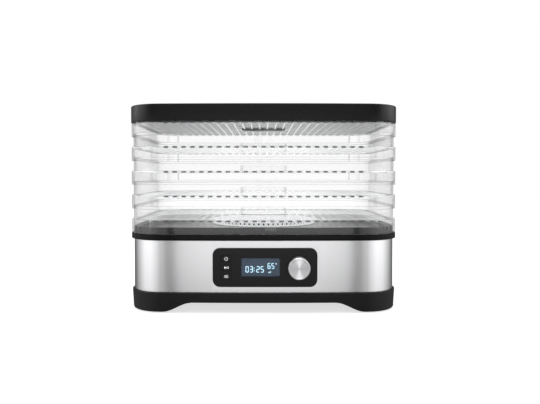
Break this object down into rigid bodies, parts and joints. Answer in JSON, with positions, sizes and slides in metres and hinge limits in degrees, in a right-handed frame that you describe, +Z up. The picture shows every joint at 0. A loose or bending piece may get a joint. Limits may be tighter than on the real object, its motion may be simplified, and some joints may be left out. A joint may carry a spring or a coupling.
{
  "type": "food dehydrator",
  "caption": "Rectangular countertop food dehydrator: steel-banded base with display, keys and knob, stacking clear trays with mesh floors, and a black lid.",
  "frame": {"origin": "middle of the footprint, on the surface that the feet stand on", "axes": "+X to the right seen from the control panel, +Y from the panel towards the back, +Z up"},
  "size_m": [0.3468, 0.2594, 0.265],
  "materials": {
    "satin_black": "satin",
    "gloss_black": "gloss",
    "brushed_band": "brushed",
    "clear_tray": "clear",
    "light_grey": "satin",
    "panel_black": "satin",
    "display_screen": "gloss",
    "display_window": "clear",
    "turned_aluminium": "turned",
    "black_rubber": "matte",
    "zinc_steel": "plated",
    "inner_white": "matte",
    "mica": "matte",
    "heater_wire": "drawn",
    "copper": "wound",
    "circuit_board": "satin",
    "relay_blue": "satin",
    "lead_black": "satin",
    "lead_red": "satin",
    "ribbon_grey": "satin"
  },
  "bodies": {
    "base": {"foot_skirt": "satin_black", "bottom_plate": "satin_black", "steel_band": "brushed_band", "bezel_ring": "gloss_black", "top_deck": "gloss_black", "vent_cap": "light_grey", "air_duct": "inner_white", "motor_bracket": "zinc_steel", "motor_housing": "zinc_steel", "motor_bearing_lower": "zinc_steel", "motor_bearing_upper": "zinc_steel", "motor_stator": "copper", "heater_frame": "mica", "heater_coil": "heater_wire", "thermal_cutout": "zinc_steel", "thermal_fuse": "zinc_steel", "temperature_sensor": "zinc_steel", "control_fascia": "panel_black", "display_lens": "display_window", "display_module": "display_screen", "display_board": "circuit_board", "encoder_body": "zinc_steel", "power_board": "circuit_board", "transformer": "copper", "relay": "relay_blue", "capacitor": "lead_black", "cord_gland": "black_rubber", "mains_lead": "lead_black", "heater_lead": "lead_red", "ribbon_cable": "ribbon_grey", "rubber_foot_front_left": "black_rubber", "bottom_screw_front_left": "zinc_steel", "rubber_foot_front_right": "black_rubber", "bottom_screw_front_right": "zinc_steel", "rubber_foot_rear_left": "black_rubber", "bottom_screw_rear_left": "zinc_steel", "rubber_foot_rear_right": "black_rubber", "bottom_screw_rear_right": "zinc_steel"},
    "knob": {"knob": "turned_aluminium", "encoder_shaft": "zinc_steel"},
    "fan": {"fan_impeller": "inner_white", "motor_rotor": "zinc_steel"},
    "button_power": {"button_power": "panel_black"},
    "button_play_pause": {"button_play_pause": "panel_black"},
    "button_set": {"button_set": "panel_black"},
    "lid": {"lid": "satin_black"},
    "tray_1": {"tray_1": "clear_tray"},
    "tray_2": {"tray_2": "clear_tray"},
    "tray_3": {"tray_3": "clear_tray"},
    "tray_4": {"tray_4": "clear_tray"},
    "tray_5": {"tray_5": "clear_tray"}
  },
  "joints": [
    {"name": "tray_1_lift", "type": "slide", "parent": "base", "child": "tray_1", "axis": [0, 0, 1], "range_m": [0, 0.06]},
    {"name": "tray_2_lift", "type": "slide", "parent": "tray_1", "child": "tray_2", "axis": [0, 0, 1], "range_m": [0, 0.06]},
    {"name": "tray_3_lift", "type": "slide", "parent": "tray_2", "child": "tray_3", "axis": [0, 0, 1], "range_m": [0, 0.06]},
    {"name": "tray_4_lift", "type": "slide", "parent": "tray_3", "child": "tray_4", "axis": [0, 0, 1], "range_m": [0, 0.06]},
    {"name": "tray_5_lift", "type": "slide", "parent": "tray_4", "child": "tray_5", "axis": [0, 0, 1], "range_m": [0, 0.06]},
    {"name": "lid_lift", "type": "slide", "parent": "tray_5", "child": "lid", "axis": [0, 0, 1], "range_m": [0, 0.06]},
    {"name": "knob_turn", "type": "hinge", "parent": "base", "child": "knob", "pos_m": [0.044, -0.1297, 0.0575], "axis": [0, -1, 0], "continuous": true},
    {"name": "fan_spin", "type": "hinge", "parent": "base", "child": "fan", "pos_m": [0, 0.004, 0.06], "axis": [0, 0, 1], "continuous": true},
    {"name": "button_power_press", "type": "slide", "parent": "base", "child": "button_power", "axis": [0, 1, 0], "range_m": [0, 0.0006], "stiffness_N_per_m": 600, "springref_m": -0.001},
    {"name": "button_play_pause_press", "type": "slide", "parent": "base", "child": "button_play_pause", "axis": [0, 1, 0], "range_m": [0, 0.0006], "stiffness_N_per_m": 600, "springref_m": -0.001},
    {"name": "button_set_press", "type": "slide", "parent": "base", "child": "button_set", "axis": [0, 1, 0], "range_m": [0, 0.0006], "stiffness_N_per_m": 600, "springref_m": -0.001}
  ]
}
